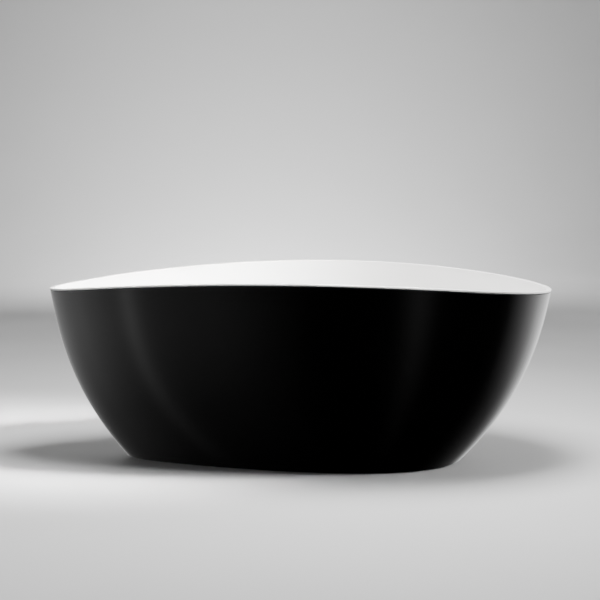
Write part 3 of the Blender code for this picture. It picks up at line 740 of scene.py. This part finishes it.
# soft boxes that light the room: place, what they face, size, watts and how far they spread
lamps = {
    "overheadBox": {
        "place": (0.2, -0.15, 2.6),
        "target": (0.1, 0.0, 0.0),
        "size": (1.2, 0.9),
        "watts": 120,
        "spread": 140,
    },
    "bowlBox": {
        "place": (1.6, -0.5, 2.4),
        "target": (-0.42, 0.02, 0.45),
        "size": (0.5, 0.5),
        "watts": 38,
        "spread": 23,
    },
    "sideBox": {
        "place": (2.7, -1.0, 2.5),
        "target": (-0.1, 0.0, 0.3),
        "size": (0.8, 0.8),
        "watts": 12,
        "spread": 60,
    },
    "backdropGlow": {
        "place": (-0.2, 4.6, 1.8),
        "target": (-0.2, 6.7, 0.2),
        "size": (0.8, 0.5),
        "watts": 200,
        "spread": 170,
    },
    "fillBox": {
        "place": (0.0, 0.5, 5.2),
        "target": (0.0, 0.5, 0.0),
        "size": (3.0, 3.0),
        "watts": 20,
        "spread": 170,
    },
}


def softLight(name, lamp):
    data = bpy.data.lights.new(name, "AREA")
    data.shape = "RECTANGLE"
    data.size, data.size_y = lamp["size"]
    data.energy = lamp["watts"]
    data.spread = math.radians(lamp["spread"])
    light = bpy.data.objects.new(name, data)
    light.location = lamp["place"]
    light.visible_camera = False
    scene.collection.objects.link(light)
    aimAt(light, lamp["target"])


# what the skirt and the chrome mirror: brightness against the degrees round from the front, to the right,
# and how it fades with the sine of the height
tent = {
    "left": {
        "round": [
            (-180, 0.5), (-130, 1.6), (-100, 2.6), (-75, 2.6), (-62, 1.7), (-57, 1.2), (-55, 1.2), (-53, 4.2),
            (-51, 0.9), (-42, 0.6), (-34, 0.5), (-26, 0.28), (-15, 0.02), (0, 0.0), (10, 0.02), (19, 0.55),
            (28, 0.02), (40, 0.0), (180, 0.0),
        ],
        "fade": [(-1.0, 0.0), (-0.86, 0.04), (-0.65, 0.3), (-0.35, 1.0), (1.0, 1.0)],
    },
    "right": {
        "round": [
            (-180, 0.8), (-150, 0.0), (67, 0.0), (76, 0.12), (84, 0.9), (93, 1.8), (102, 2.8), (125, 4.0),
            (150, 3.0), (180, 0.8),
        ],
        "fade": [
            (-1.0, 0.0), (-0.82, 0.03), (-0.64, 0.1), (-0.54, 0.25), (-0.42, 0.6), (-0.28, 1.0), (1.0, 1.0),
        ],
    },
    "upper": {  # the pale room over the rim, for the chrome and the bowl's shine
        "round": [(-180, 1.0), (-60, 0.5), (0, 0.35), (60, 0.6), (180, 1.0)],
        "fade": [(-1.0, 0.0), (-0.12, 0.0), (0.05, 0.5), (0.4, 0.9), (1.0, 1.0)],
    },
}


def rampOver(tree, value, stops, low, high, peak):
    # a ramp over a value from low to high, its greys as shares of the peak
    share = addNode(tree, "ShaderNodeMapRange", i0=value, i1=low, i2=high).outputs[0]
    ramp = addNode(tree, "ShaderNodeValToRGB", Fac=share)
    points = ramp.color_ramp.elements
    while len(points) < len(stops):
        points.new(0.5)
    for point, (place, bright) in zip(points, stops):
        point.position = (place - low) / (high - low)
        point.color = (bright / peak, bright / peak, bright / peak, 1.0)
    return ramp.outputs["Color"]


def makeTent():
    world = bpy.data.worlds.new("light tent")
    scene.world = world
    world.use_nodes = True
    tree = world.node_tree
    background = tree.nodes["Background"]
    direction = addNode(tree, "ShaderNodeTexCoord").outputs["Generated"]
    x, y, z = addNode(tree, "ShaderNodeSeparateXYZ", Vector=direction).outputs
    toFront = addNode(tree, "ShaderNodeMath", {"operation": "MULTIPLY"}, i0=y, i1=-1.0).outputs[0]
    turn = addNode(tree, "ShaderNodeMath", {"operation": "ARCTAN2"}, i0=x, i1=toFront).outputs[0]
    degrees = addNode(tree, "ShaderNodeMath", {"operation": "DEGREES"}, i0=turn).outputs[0]
    total = 0.0
    for side in tent.values():
        peak = max(bright for _, bright in side["round"])
        glow = rampOver(tree, degrees, side["round"], -180, 180, peak)
        fade = rampOver(tree, z, side["fade"], -1.0, 1.0, 1.0)
        lit = addNode(tree, "ShaderNodeMath", {"operation": "MULTIPLY"}, i0=glow, i1=fade).outputs[0]
        settings = {"operation": "MULTIPLY_ADD"}
        total = addNode(tree, "ShaderNodeMath", settings, i0=lit, i1=peak, i2=total).outputs[0]
    tree.links.new(total, background.inputs["Strength"])
    background.inputs["Color"].default_value = hexColor("#FFFFFF")
    world.cycles_visibility.camera = False
    world.cycles_visibility.diffuse = False


view = {"distance": 4.5, "height": 1.131, "pitch": 0.130, "lens": 79.94}


def makeCamera():
    data = bpy.data.cameras.new("camera")
    data.lens = view["lens"]
    data.sensor_width = 36
    camera = bpy.data.objects.new("camera", data)
    scene.collection.objects.link(camera)
    camera.location = (0.0, -view["distance"], view["height"])
    camera.rotation_euler = (math.pi / 2 - view["pitch"], 0, 0)
    scene.camera = camera


makeStudio()
for name, lamp in lamps.items():
    softLight(name, lamp)
makeTent()
makeCamera()
print("studio made")
